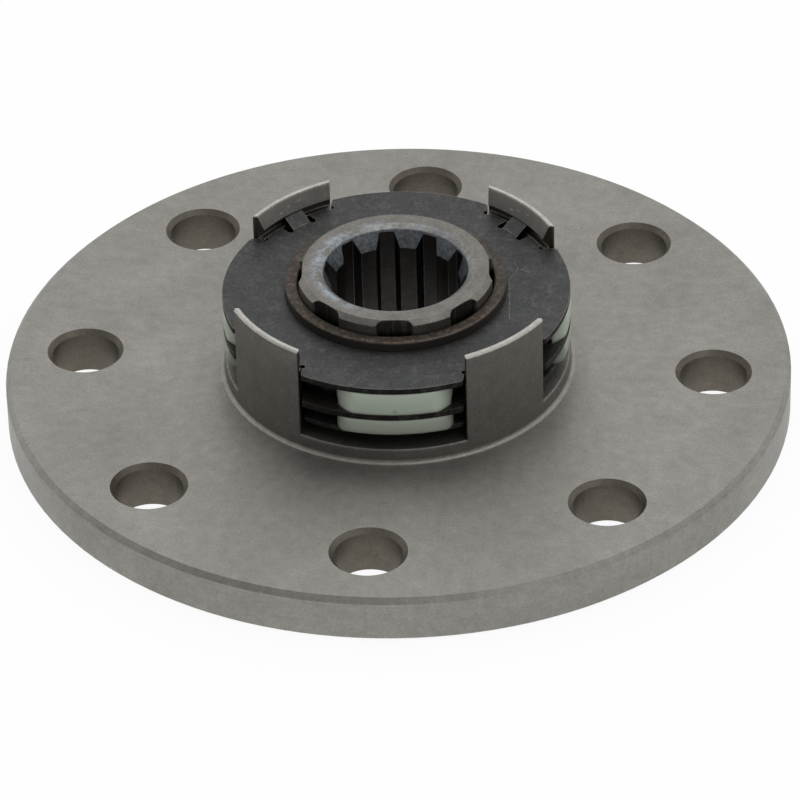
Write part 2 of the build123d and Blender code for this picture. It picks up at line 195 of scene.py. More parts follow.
class Paint(Nodes):
    """A material in the making: its node tree and the shader that it ends in."""

    def __init__(self, name, **fixed):
        self.material = bpy.data.materials.new(name)
        self.material.use_nodes = True
        super().__init__(self.material.node_tree)
        self.shader = self.tree.nodes["Principled BSDF"]
        for socket, value in fixed.items():
            self.shader.inputs[socket.replace("_", " ")].default_value = value
        self.place = self.node("ShaderNodeTexCoord", output="Object")
        self.x, self.y, self.z = self.parts(self.place)
        self.radius = (self.x * self.x + self.y * self.y) ** 0.5
        self.facing = self.node("ShaderNodeNewGeometry", output="True Normal")

    def noise(self, scale, detail=3.0, rough=0.55, vector=None, distortion=0.0):
        """Cloudy noise from 0 to 1, with this many lumps to the metre."""
        inputs = {"Vector": vector or self.place, "Scale": scale, "Detail": detail}
        inputs.update({"Roughness": rough, "Distortion": distortion})
        return self.node("ShaderNodeTexNoise", inputs=inputs)

    def rings(self, scale, detail=2.0):
        """Noise that changes only with the distance from the axis, as turned faces have."""
        return self.noise(1.0, detail, vector=self.vector(self.radius * scale, 0.0, self.z * scale * 0.2))

    def levels(self, scale, detail=2.0):
        """Noise that changes only with the height, as turned walls have."""
        return self.noise(1.0, detail, vector=self.vector(self.radius * scale * 0.2, 0.0, self.z * scale))

    def uprights(self, scale, stretch):
        """Noise drawn out along the axis, as ground walls have."""
        x, y = self.x / self.radius * PACK_RADIUS, self.y / self.radius * PACK_RADIUS
        return self.noise(scale, vector=self.vector(x, y, self.z * stretch))

    def scratches(self, scale, stretch, turn, width):
        """Thin straight scratches at an angle: 1 on a scratch and 0 beside it."""
        inputs = {"Vector": self.place, "Rotation": (0, 0, turn), "Scale": (scale, scale / stretch, scale)}
        turned = self.node("ShaderNodeMapping", inputs=inputs)
        line = self.noise(1.0, 1.0, vector=turned, distortion=0.25)
        return abs(line - 0.5).step(width, 0.0)

    def stroke(self, start, end, width):
        """One straight mark between two points seen from above: 1 on it and 0 beside it."""
        run = Vector(end) - Vector(start)
        from_x, from_y = self.x - start[0], self.y - start[1]
        share = (from_x * run.x + from_y * run.y) / run.length_squared
        share = share.math("MINIMUM", share.over(0.0), 1.0)
        off_x, off_y = from_x - share * run.x, from_y - share * run.y
        return ((off_x * off_x + off_y * off_y) ** 0.5).step(width, width * 0.3)

    def specks(self, scale, size, share):
        """Round specks on a share of the cells of a pattern: 1 in a speck."""
        inputs = {"Vector": self.place, "Scale": scale}
        near = self.node("ShaderNodeTexVoronoi", inputs=inputs, output="Distance")
        colour = self.node("ShaderNodeTexVoronoi", inputs=inputs, output="Color")
        chosen = self.node("ShaderNodeSeparateColor", inputs={0: colour}).step(share, share * 0.98)
        return near.step(size, size * 0.5) * chosen

    def folded(self, count, first, radius):
        """Distance outwards and sideways from the nearest of some places round the axis."""
        turn = 2 * math.pi / count
        angle = self.node("ShaderNodeMath", {"operation": "ARCTAN2"}, {0: self.y, 1: self.x})
        side = angle.math("FLOORED_MODULO", angle - (first - turn / 2), turn) - turn / 2
        return self.radius * side.math("COSINE", side) - radius, self.radius * side.math("SINE", side)

    def round(self, radius, plain=None):
        """Normal that rounds the edges over a radius, but not where plain is 1."""
        soft = self.node("ShaderNodeBevel", {"samples": 6}, {"Radius": radius})
        if plain is None:
            return soft
        own = self.node("ShaderNodeNewGeometry", output="Normal")
        settings = {"data_type": "VECTOR", "clamp_factor": True}
        return self.node("ShaderNodeMix", settings, {0: plain, 4: soft, 5: own}, output=1)

    def edges(self, radius):
        """1 along the edges and 0 on the faces between them."""
        return self.dot(self.round(radius), self.facing).step(0.995, 0.93)

    def mix(self, factor, first, second):
        inputs = {0: factor, 6: rgba(first), 7: rgba(second)}
        return self.node("ShaderNodeMix", {"data_type": "RGBA", "clamp_factor": True}, inputs, output=2)

    def coats(self, colour, *coats):
        """A colour with others laid over it in turn, each as far as its mask says."""
        for mask, coat in coats:
            colour = self.mix(mask, colour, coat)
        return colour

    def shade(self, colour, factor):
        """A colour made lighter or darker by a factor."""
        return self.node("ShaderNodeVectorMath", {"operation": "SCALE"}, {0: colour, "Scale": factor})

    def feed(self, colour, roughness, height, depth, normal=None):
        """Links what changes over the surface to the shader, and gives the material.

        The height is from 0 to 1 over a depth in metres, and stands on the normal where one is given.
        """
        self.fill(self.shader.inputs["Base Color"], colour)
        self.fill(self.shader.inputs["Roughness"], roughness)
        inputs = {"Height": height, "Distance": depth, "Normal": normal}
        self.fill(self.shader.inputs["Normal"], self.node("ShaderNodeBump", inputs=inputs))
        return self.material


def rgba(colour):
    """A plain colour with an alpha of 1, as sockets take it; a signal stays as it is."""
    return colour if isinstance(colour, Signal) else (*colour, 1.0)


def centred(signal, spread):
    """Turns noise from 0 to 1 into a factor about 1."""
    return (signal - 0.5) * (2 * spread) + 1.0


def cover(node, material):
    """Gives a CAD node's own object a finished material."""
    for slot in frame["nodes"][node].material_slots:
        slot.material = material


def add_object(name, mesh):
    """Makes an object of a bmesh, at the origin, and frees the bmesh."""
    data = bpy.data.meshes.new(name)
    mesh.to_mesh(data)
    mesh.free()
    thing = bpy.data.objects.new(name, data)
    bpy.context.scene.collection.objects.link(thing)
    return thing


def colour_property(name, description, value):
    settings = {"subtype": "COLOR", "size": 3, "min": 0.0, "max": 1.0}
    return FloatVectorProperty(name=name, description=description, default=value, **settings)


def length_property(name, description, metres):
    return FloatProperty(name=name, description=description, default=metres, unit="LENGTH")


def angle_property(name, description, degrees):
    return FloatProperty(name=name, description=description, default=math.radians(degrees), subtype="ANGLE")


def number_property(name, description, value):
    return FloatProperty(name=name, description=description, default=value)


class DamperSizes(bpy.types.PropertyGroup):
    """Sizes of the forms that differ from the CAD's."""

    foot_radius: length_property("Foot fillet", "Radius of the hollow fillet at the boss's foot", 0.0012)
    rim_chamfer: length_property("Rim chamfer", "Width of the chamfer round the flange's top", 0.0013)
    wire: length_property("Spring wire", "Thickness of the coil springs' wire", 0.0022)
    turns: number_property("Spring turns", "Turns of each coil spring, with its closed ends", 5.5)


class DamperColours(bpy.types.PropertyGroup):
    """Colours of the damper's materials, as linear red, green and blue."""

    steel: colour_property("Flange steel", "Ground steel of flange and fingers", (0.285, 0.275, 0.252))
    # Also laid on the fingers' top lands as a painted highlight
    bright: colour_property("Bright steel", "Bare steel on worn edges and punch marks", (0.62, 0.60, 0.56))
    # Darker than the flange's steel, as painted shade inside the bolt holes
    hole: colour_property("Bolt hole steel", "Drilled walls of the bolt holes", (0.165, 0.148, 0.122))
    # Also laid on the fingers' end faces and in the grooves under their lips as painted shade
    scale: colour_property("Scale", "Brown-black skin of cut faces and grooves", (0.075, 0.06, 0.048))
    hub: colour_property("Hub steel", "Turned steel of the hub", (0.190, 0.181, 0.166))
    heat: colour_property("Heat tint", "Bluish white tint at the mouth of the hub's bore", (0.31, 0.35, 0.39))
    land: colour_property("Spline lead", "Mottled steel of the lead cone at the spline", (0.20, 0.215, 0.23))
    # Also laid in the hub's outer gaps as painted shade
    bore: colour_property("Bore", "Dark broached grooves inside the hub", (0.045, 0.040, 0.037))
    plate: colour_property("Plate", "Dark grey phosphated sheet", (0.043, 0.0445, 0.0435))
    worn: colour_property("Worn edge", "Bare steel where the plates' edges are worn", (0.33, 0.31, 0.28))
    rust: colour_property("Rust", "Brown rust on the bushes", (0.029, 0.021, 0.015))
    fleck: colour_property("Rust fleck", "Light tan flecks in the rust", (0.17, 0.122, 0.088))
    rim: colour_property("Drive plate", "Dark brown sheet of the drive plate", (0.045, 0.038, 0.033))
    plastic: colour_property("Guide plastic", "Greenish white moulded plastic", (0.49, 0.555, 0.465))
    spring: colour_property("Spring", "Dark oiled spring steel", (0.12, 0.12, 0.12))
    # Also laid, darker, on the bushes' sides as painted shade
    lining: colour_property("Lining", "Moulded friction lining", (0.05, 0.042, 0.036))


class DamperStage(bpy.types.PropertyGroup):
    """The camera's place and the lights round the damper."""

    azimuth: angle_property("Azimuth", "Camera's turn round the damper", 6.11)
    elevation: angle_property("Elevation", "Camera's height as an angle", 35.278)
    roll: angle_property("Roll", "Camera's turn about its own view", -1.589)
    distance: length_property("Distance", "From the flange's top to the camera", 1.4702)
    lens: number_property("Lens", "Focal length in millimetres", 260.83)
    aim_right: angle_property("Aim right", "Camera's aim right of the flange's middle", 0.0185)
    aim_down: angle_property("Aim down", "Camera's aim below the flange's middle", 0.386)
    back: number_property("Back wall", "Brightness of the studio behind the damper", 0.95)
    front: number_property("Front wall", "Brightness of the studio on the camera's side", 0.30)
    zenith: number_property("Ceiling", "Brightness of the studio's ceiling", 0.95)
    top_light: number_property("Top light", "Radiance of the lamp overhead", 1.3)
    side_light: number_property("Side light", "Radiance of the lamp on the right", 2.0)


class DAMPER_OT_stage(bpy.types.Operator):
    """Sets up the camera, the white floor and the studio light"""

    bl_idname = "damper.stage"
    bl_label = "Camera, floor and light"

    floor_size = 6.0
    floor_gap = 0.0001
    floor_white = 0.95
    floor_glow = 0.93

    # Where the studio's brightness changes from the front walls to the back ones, and with the
    # height to the ceiling's and to a white horizon, as parts of a direction's length
    front_to_back = (-0.5, 0.3)
    wall_to_ceiling = (0.80, 0.99)
    wall_to_horizon = (0.10, 0.0)

    # Name of each lamp, the stage's value for it, azimuth and elevation in degrees, distance and width
    lamps = (
        ("top_lamp", "top_light", 180.0, 80.0, 1.1, 0.75),
        ("side_lamp", "side_light", 49.0, 50.0, 1.2, 0.42),
    )

    def execute(self, context):
        stage = context.scene.damper_stage
        context.scene.view_settings.view_transform = "Standard"
        self.make_camera(context, stage)
        self.make_floor(context)
        self.make_world(context, stage)
        for name, light, *place in self.lamps:
            self.make_lamp(context, name, getattr(stage, light), *place)
        return {"FINISHED"}

    def direction(self, azimuth, elevation):
        """From the damper towards a place in the studio; azimuth 0 is the camera's side."""
        flat = math.cos(elevation)
        return Vector((math.sin(azimuth) * flat, -math.cos(azimuth) * flat, math.sin(elevation)))

    def make_camera(self, context, stage):
        data = bpy.data.cameras.new("camera")
        data.lens = stage.lens
        camera = bpy.data.objects.new("camera", data)
        context.scene.collection.objects.link(camera)
        back = self.direction(stage.azimuth, stage.elevation)
        turn = (-back).to_track_quat("-Z", "Y")
        turn = turn @ Quaternion((0, 0, 1), stage.roll)
        turn = turn @ Quaternion((1, 0, 0), -stage.aim_down) @ Quaternion((0, 1, 0), -stage.aim_right)
        camera.location = Vector((0, 0, FLANGE_TOP)) + back * stage.distance
        camera.rotation_mode = "QUATERNION"
        camera.rotation_quaternion = turn
        context.scene.camera = camera

    def make_floor(self, context):
        mesh = bmesh.new()
        bmesh.ops.create_grid(mesh, x_segments=1, y_segments=1, size=self.floor_size)
        bmesh.ops.translate(mesh, verts=mesh.verts, vec=(0, 0, cad_box[0].z - self.floor_gap))
        floor = add_object("floor", mesh)
        paint = Paint("floor_white", Roughness=1.0)
        paint.fill(paint.shader.inputs["Base Color"], rgba((self.floor_white,) * 3))
        camera, glossy, through = (paint.node("ShaderNodeLightPath", output=name) for name in SEEN_RAYS)
        seen = camera.over(glossy).over(through)
        glow = paint.node("ShaderNodeEmission", inputs={"Color": (1, 1, 1, 1), "Strength": 1.0})
        body = Signal(paint, paint.shader.outputs[0])
        mixed = paint.node("ShaderNodeMixShader", inputs={0: seen * self.floor_glow, 1: body, 2: glow})
        paint.fill(paint.tree.nodes["Material Output"].inputs["Surface"], mixed)
        floor.data.materials.append(paint.material)

    def make_world(self, context, stage):
        """Bright walls behind and beside the damper, darker ones on the camera's side."""
        world = bpy.data.worlds.new("studio")
        world.use_nodes = True
        context.scene.world = world
        sky = Nodes(world.node_tree)
        across, deep, high = sky.parts(sky.node("ShaderNodeTexCoord", output="Generated"))
        behind = deep.step(*self.front_to_back)
        walls = behind * (stage.back - stage.front) + stage.front
        ceiling = high.step(*self.wall_to_ceiling)
        level = walls + (stage.zenith - walls) * ceiling
        horizon = high.step(*self.wall_to_horizon)
        level = level + (1 - level) * horizon
        sky.fill(sky.tree.nodes["Background"].inputs["Color"], (1, 1, 1, 1))
        sky.fill(sky.tree.nodes["Background"].inputs["Strength"], level)

    def make_lamp(self, context, name, radiance, azimuth, elevation, distance, width):
        data = bpy.data.lights.new(name, "AREA")
        data.shape = "SQUARE"
        data.size = width
        data.energy = radiance * math.pi * width**2
        lamp = bpy.data.objects.new(name, data)
        back = self.direction(math.radians(azimuth), math.radians(elevation))
        lamp.location = back * distance
        lamp.rotation_mode = "QUATERNION"
        lamp.rotation_quaternion = (-back).to_track_quat("-Z", "Y")
        context.scene.collection.objects.link(lamp)


class DAMPER_OT_flange(bpy.types.Operator):
    """Makes the ground flange from the CAD's, with a hollow foot and a narrower rim chamfer"""

    bl_idname = "damper.flange"
    bl_label = "Flange"

    # The CAD's own sizes there, and how near a point has to be to count as on a form
    cad_foot = 0.0017
    cad_chamfer = 0.0020
    near = 0.00002

    # Widths of the rim's finish, of the bolt holes' mouths and of the grooves under the lips
    rim_width = 0.0011
    mouth_width = 0.0016
    groove_height = 0.0023

    # Each punch mark's distance from the finger's middle, and its height
    punch_marks = ((0.0012, 0.0388), (0.0036, 0.0381), (-0.0022, 0.0391))

    def execute(self, context):
        flange = self.reshaped(frame["nodes"]["flange"].data, context.scene.damper_sizes)
        flange.data.materials.append(self.steel(context.scene.damper_colours))
        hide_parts("flange")
        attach(flange, HOUSING)
        return {"FINISHED"}

    def reshaped(self, cad, sizes):
        """A merged copy of the CAD flange, which keeps its normals apart from those of the fillet."""
        copy = cad.copy()
        normals = [0.0] * (3 * len(copy.loops))
        cad.corner_normals.foreach_get("vector", normals)
        copy.attributes.new("look", "FLOAT_VECTOR", "CORNER").data.foreach_set("vector", normals)
        mesh = bmesh.new()
        mesh.from_mesh(copy)
        bpy.data.meshes.remove(copy)
        bmesh.ops.remove_doubles(mesh, verts=mesh.verts, dist=1e-6)
        self.hollow_foot(mesh, mesh.loops.layers.float_vector["look"], sizes.foot_radius)
        self.narrow_chamfer(mesh, sizes.rim_chamfer)
        flange = add_object("ground_flange", mesh)
        normals = [corner.vector.copy() for corner in flange.data.attributes["look"].data]
        flange.data.normals_split_custom_set(normals)
        flange.data.attributes.remove(flange.data.attributes["look"])
        return flange

    def hollow_foot(self, mesh, look, foot_radius):
        """Turns the bead at the boss's foot over its own chord and shrinks it, into a hollow fillet."""
        bead = set()
        share = foot_radius / self.cad_foot
        for vertex in mesh.verts:
            radius = vertex.co.xy.length
            out, up = radius - PACK_RADIUS, vertex.co.z - FLANGE_TOP
            if min(out, up) > -self.near and abs(math.hypot(out, up) - self.cad_foot) < self.near:
                bead.add(vertex)
                vertex.co.xy *= (PACK_RADIUS + (self.cad_foot - up) * share) / radius
                vertex.co.z = FLANGE_TOP + (self.cad_foot - out) * share
        for corner in (loop for face in mesh.faces if bead.issuperset(face.verts) for loop in face.loops):
            point = corner.vert.co
            centre = (point.xy.normalized() * (PACK_RADIUS + foot_radius)).to_3d()
            centre.z = FLANGE_TOP + foot_radius
            corner[look] = (centre - point).normalized()

    def narrow_chamfer(self, mesh, rim_chamfer):
        """Moves both edges of the rim's chamfer nearer the flange's corner."""
        for vertex in mesh.verts:
            inwards, down = FLANGE_RADIUS - vertex.co.xy.length, FLANGE_TOP - vertex.co.z
            if abs(down) < self.near and abs(inwards - self.cad_chamfer) < self.near:
                vertex.co.xy *= (FLANGE_RADIUS - rim_chamfer) / vertex.co.xy.length
            if abs(inwards) < self.near and abs(down - self.cad_chamfer) < self.near:
                vertex.co.z = FLANGE_TOP - rim_chamfer

    def steel(self, colours):
        paint = Paint("ground_steel", Metallic=1.0)
        up = paint.parts(paint.facing)[2]
        fingers = paint.z.step(BOSS_TOP - 0.0005, BOSS_TOP)
        top_land_highlight = paint.z.step(FINGER_TOP - 0.0006, FINGER_TOP - 0.0003)
        wall, mouth = self.holes(paint, up)
        # The tone lays painted shade from shadows() and darker bolt-hole mouths over the steel's grain
        tone = self.grain(paint, fingers) * self.shadows(paint, up) * (1 - mouth * 0.15)
        worn = paint.edges(EDGE) * paint.z.step(BOSS_TOP + 0.001, BOSS_TOP + 0.002) * 0.4
        colour = paint.coats(
            colours.steel,
            # Painted shade: the bolt holes' walls and mouths take the darker hole colour
            (wall.over(mouth), colours.hole),
            # Painted shade: the fingers' end faces take the dark scale colour
            (self.finger_ends(paint) * fingers * 0.9, colours.scale),
            # Painted shade: the grooves under the fingers' lips take the dark scale colour
            (self.grooves(paint) * 0.7, colours.scale),
            (self.punched(paint), colours.bright),
            # Worn edges, and a painted highlight along the fingers' top lands
            (worn.over(top_land_highlight * 0.6), colours.bright),
        )
        rough = paint.noise(75, 3.0) * 0.12 + paint.noise(2400, 1.0) * 0.08 + 0.42
        height = paint.rings(2600) * 0.4 + paint.noise(2400, 3.0) * 0.6
        foot = paint.radius.step(PACK_RADIUS - 0.0003, PACK_RADIUS - 0.0001)
        foot = foot * paint.z.step(BOSS_TOP - 0.0006, BOSS_TOP - 0.0009)
        normal = paint.round(EDGE, foot)
        return paint.feed(paint.shade(colour, tone), rough, height, depth=0.000010, normal=normal)

    def grain(self, paint, fingers):
        """Clouds, mottle and grain, with turning marks on the disc and grinding marks on the fingers."""
        cloud = centred(paint.noise(42, 5.0, 0.65), 0.26)
        mottle = centred(paint.noise(330, 4.0, 0.6), 0.20)
        grain = centred(paint.noise(1500, 3.0, 0.6), 0.30)
        rim = paint.radius.step(FLANGE_RADIUS - self.rim_width - 0.0004, FLANGE_RADIUS - self.rim_width)
        turned = centred(paint.rings(2600), 0.035) * (1 - fingers) * (1 - rim)
        turned = turned + centred(paint.levels(3000), 0.08) * rim
        ground = centred(paint.uprights(1900, 0.25), 0.05)
        specks = (1 - paint.specks(95, 0.03, 0.10) * 0.45) * (1 - paint.specks(60, 0.02, 0.06) * 0.6)
        return cloud * mottle * grain * (turned + ground * fingers) * specks

    def shadows(self, paint, up):
        """Painted shade: darker outer faces of the fingers and the boss, and a dimmer edge round the boss's
        top.
        """
        outer = paint.radius.step(PACK_RADIUS - 0.0004, PACK_RADIUS - 0.0002) * up.step(0.5, 0.3)
        outer = outer * paint.radius.step(PACK_RADIUS + 0.0030, PACK_RADIUS + 0.0020)
        edge = paint.z.band(BOSS_TOP - 0.0004, BOSS_TOP - 0.0001, 0.0001) * up.step(0.2, 0.4)
        edge = edge * paint.radius.step(PACK_RADIUS - 0.0010, PACK_RADIUS - 0.0006)
        return (1 - outer * 0.26) * (1 - edge * 0.45)

    def holes(self, paint, up):
        """The bolt holes' walls, and the slopes at their mouths."""
        outwards, sideways = paint.folded(BOLT_COUNT, WINDOW_ANGLE, BOLT_CIRCLE)
        from_hole = (outwards * outwards + sideways * sideways) ** 0.5
        wall = from_hole.step(HOLE_RADIUS + 0.0004, HOLE_RADIUS + 0.0001)
        wall = wall * paint.z.step(FLANGE_TOP - 0.0002, FLANGE_TOP - 0.0004)
        mouth = from_hole.step(HOLE_RADIUS + self.mouth_width + 0.0004, HOLE_RADIUS + self.mouth_width)
        return wall, mouth * up.step(0.9, 0.8) * up.step(0.3, 0.5)

    def finger_ends(self, paint):
        """The end faces of the fingers, which look sideways round the axis."""
        across, deep = paint.parts(paint.facing)[:2]
        return abs((paint.x * deep - paint.y * across) / paint.radius).step(0.6, 0.75)

    def grooves(self, paint):
        """The grooves under the fingers' lips."""
        depth = paint.radius.step(PACK_RADIUS - 0.0001, PACK_RADIUS - 0.0004)
        return depth * paint.z.band(PLATE_TOP - 0.0005, PLATE_TOP + self.groove_height, 0.0002)

    def punched(self, paint):
        """Small bright marks of a punch on the fingers' inner cones, above the tongues."""
        sideways = paint.folded(SPRING_COUNT, WINDOW_ANGLE + math.pi / SPRING_COUNT, 0.0)[1]
        inner = paint.radius.step(PACK_RADIUS - 0.0012, PACK_RADIUS - 0.0016)
        marks = sum(
            abs(sideways - side).step(0.0009, 0.0004) * abs(paint.z - height).step(0.00035, 0.0001)
            for side, height in self.punch_marks
        )
        broken = paint.noise(1500, 3.0, 0.7).step(0.42, 0.6)
        return marks * inner * broken * 0.7


class DAMPER_OT_hub(bpy.types.Operator):
    """Finishes the hub: turned faces, heat tint at the bore's mouth and dark grooves"""

    bl_idname = "damper.hub"
    bl_label = "Hub"

    # Radii of the bore's mouth, of the grooves' floors, of the outer gaps' floors and of the heat tint
    mouth_radius = 0.0196
    groove_radius = 0.01825
    gap_radius = 0.0244
    tint_radius = 0.0200
    tint_reach = 0.0022

    def execute(self, context):
        cover("hub", self.steel(context.scene.damper_colours))
        return {"FINISHED"}

    def steel(self, colours):
        paint = Paint("turned_hub_steel", Metallic=1.0)
        up = paint.parts(paint.facing)[2]
        mouth = paint.radius.step(self.mouth_radius + 0.0002, self.mouth_radius)
        inside = paint.radius.step(self.groove_radius + 0.0002, self.groove_radius)
        lead = inside * up.step(0.2, 0.35)
        deep = inside * (1 - lead)
        blotch = paint.noise(380, 5.0, 0.65).step(0.40, 0.60)
        leftwards = (paint.x + paint.noise(150) * 0.012).step(0.006, -0.010)
        tint = paint.radius.step(self.tint_radius + self.tint_reach, self.tint_radius) * leftwards
        tint = tint.over(mouth * (1 - inside) * 0.45)
        patchy = paint.shade(colours.land, centred(paint.noise(900, 4.0, 0.7), 1.1))
        wall = up.step(0.3, 0.1) * (1 - inside)
        gap = wall * paint.radius.step(self.gap_radius, self.gap_radius - 0.0003)
        reflection_streak = paint.uprights(500, 0.1).step(0.5, 0.62)
        colour = paint.coats(
            colours.hub,
            (tint * blotch * 0.9, colours.heat),
            (lead, patchy),
            (deep, colours.bore),
            (paint.edges(0.00025) * deep * 0.35, colours.heat),
            # Painted shade in the hub's outer gaps, in the bore's dark colour, with lighter upright streaks
            # as painted reflections
            (gap * (1 - reflection_streak * 0.4) * 0.85, colours.bore),
        )
        tone = centred(paint.noise(260, 4.0), 0.32) * centred(paint.noise(1300, 4.0, 0.7), 0.55)
        turned = centred(paint.rings(3600), 0.14) * (1 - wall) + centred(paint.levels(3600), 0.16) * wall
        rough = paint.noise(500, 3.0) * 0.2 + 0.33
        height = paint.rings(3600) * 0.3 + paint.levels(3600) * wall * 0.4 + paint.noise(3000, 3.0) * 0.6
        colour = paint.shade(colour, tone * turned)
        return paint.feed(colour, rough, height, depth=0.000010, normal=paint.round(EDGE))


class DAMPER_OT_plates(bpy.types.Operator):
    """Finishes the sheet plates: dark phosphated skin, scratches and worn rims"""

    bl_idname = "damper.plates"
    bl_label = "Plates"

    # What the warm and the cool patches of the skin add to its colour
    patch_shifts = ((0.002, 0, 0.002), (-0.001, 0.002, 0))

    # Scale, stretch, turn and width of each set of fine scratches
    scratch_sets = ((2600, 40, 0.3, 0.011), (2100, 50, 1.35, 0.010), (1700, 60, 2.4, 0.010))

    # Ends of each scratch on the retaining plate, its half width and how bright it is
    marks = (
        (((0.0282, 0.0055), (0.0295, -0.0121)), 0.00022, 0.55),
        (((0.0282, 0.0055), (0.0301, 0.0104)), 0.00020, 0.45),
        (((0.0301, 0.0104), (0.0286, 0.0136)), 0.00018, 0.30),
        (((0.0308, 0.0102), (0.0327, 0.0091)), 0.00032, 0.45),
        (((0.0327, 0.0091), (0.0346, 0.0096)), 0.00030, 0.40),
        (((0.0371, 0.0060), (0.0392, -0.0010)), 0.00016, 0.22),
        (((0.0352, -0.0050), (0.0400, 0.0005)), 0.00016, 0.20),
        (((-0.0290, 0.0170), (-0.0345, 0.0060)), 0.00018, 0.18),
        (((0.0110, 0.0335), (0.0185, 0.0330)), 0.00015, 0.20),
    )

    def execute(self, context):
        colours = context.scene.damper_colours
        dark = self.phosphated("phosphated_plate", colours.plate, colours)
        for node in ("retaining_plate", "pressure_plate", "lower_driven_plate", "upper_driven_plate"):
            cover(node, dark)
        cover("drive_plate", self.phosphated("brown_plate", colours.rim, colours))
        return {"FINISHED"}

    def phosphated(self, name, colour, colours):
        paint = Paint(name, Metallic=0.6)
        cloud = centred(paint.noise(95, 5.0, 0.65), 0.50)
        grain = centred(paint.noise(1100, 5.0, 0.7), 1.0)
        hue = paint.noise(210, 3.0)
        warm, cool = (Vector(colour) * 0.97 + Vector(shift) for shift in self.patch_shifts)
        skin = paint.coats(colour, (hue.step(0.45, 0.62), warm), (hue.step(0.50, 0.38), cool))
        # Painted shade: the plates' side walls are painted much darker than their faces
        rims = paint.parts(paint.facing)[2].step(0.5, 0.2)
        tinted = paint.shade(skin, cloud * grain * (1 - rims * 0.8))
        scratch = sum(paint.scratches(*values) for values in self.scratch_sets)
        scratch = scratch * paint.noise(170, 2.0).step(0.46, 0.72) * 0.2
        upper = paint.z.step(PLATE_TOP - 0.0003, PLATE_TOP - 0.0001)
        marks = sum(paint.stroke(*ends, width) * share for ends, width, share in self.marks)
        marks = marks * upper * paint.noise(1300, 3.0).step(0.32, 0.62) * 0.65
        rub = paint.noise(420, 5.0, 0.75).step(0.48, 0.72) * 0.14
        shown = paint.z.step(PLATE_LOW - 0.0004, PLATE_LOW) * 0.65 + 0.15
        edge = paint.edges(0.00035) * (1 - rims) * paint.noise(500, 4.0, 0.6).step(0.25, 0.60) * shown
        tinted = paint.coats(tinted, (scratch + marks + rub, colours.worn), (edge, colours.worn))
        rough = paint.noise(600, 3.0) * 0.18 + 0.36
        height = paint.noise(1500, 4.0, 0.65) - (scratch + marks) * 0.5
        return paint.feed(tinted, rough, height, depth=0.000015, normal=paint.round(EDGE))


class DAMPER_OT_bushes(bpy.types.Operator):
    """Finishes the two bushes: brown rust with tan flecks on top, and darker sides that are painted shade"""

    bl_idname = "damper.bushes"
    bl_label = "Bushes"

    def execute(self, context):
        rusty = self.rusted(context.scene.damper_colours)
        cover("upper_bush", rusty)
        cover("lower_bush", rusty)
        return {"FINISHED"}

    def rusted(self, colours):
        paint = Paint("rusted_bush", Metallic=0.35)
        top = paint.parts(paint.facing)[2].step(0.3, 0.7)
        patch = paint.noise(420, 5.0, 0.7)
        fleck = paint.noise(900, 5.0, 0.7).step(0.48, 0.66)
        dark = patch.step(0.50, 0.34)
        worn = paint.edges(0.0006) * paint.noise(600, 3.0).step(0.2, 0.6)
        skin = paint.coats(colours.rust, (fleck * 0.6, colours.fleck), (dark * 0.6, colours.scale))
        # Painted shade: the sides take the lining's colour, darkened, instead of the rust
        colour = paint.mix(top, paint.shade(colours.lining, 0.6), skin)
        colour = paint.mix(worn * top.over(0.3) * 0.95, colour, colours.fleck)
        colour = paint.shade(colour, centred(paint.noise(3000, 3.0), 0.25))
        rough = paint.noise(800, 3.0) * 0.25 + 0.42
        height = paint.noise(1800, 5.0, 0.7)
        return paint.feed(colour, rough, height, depth=0.00004, normal=paint.round(EDGE))


class DAMPER_OT_linings(bpy.types.Operator):
    """Finishes the friction linings and the disc spring"""

    bl_idname = "damper.linings"
    bl_label = "Linings and disc spring"

    def execute(self, context):
        colours = context.scene.damper_colours
        moulded = self.moulded(colours)
        for node in ("pressure_lining", "lower_lining", "upper_lining"):
            cover(node, moulded)
        cover("disc_spring", oiled_steel("oiled_disc_spring", colours.spring))
        return {"FINISHED"}

    def moulded(self, colours):
        paint = Paint("moulded_lining")
        fibre = paint.noise(2400, 4.0, 0.7)
        colour = paint.shade(colours.lining, centred(fibre, 0.4))
        return paint.feed(colour, paint.noise(900) * 0.2 + 0.6, fibre, depth=0.00003)


def oiled_steel(name, colour):
    paint = Paint(name, Metallic=0.9)
    film = paint.noise(500, 4.0)
    grain = paint.noise(3500, 2.0)
    tinted = paint.shade(colour, centred(film, 0.3) * centred(grain, 0.15))
    return paint.feed(tinted, film * 0.2 + 0.25, grain, depth=0.000006)


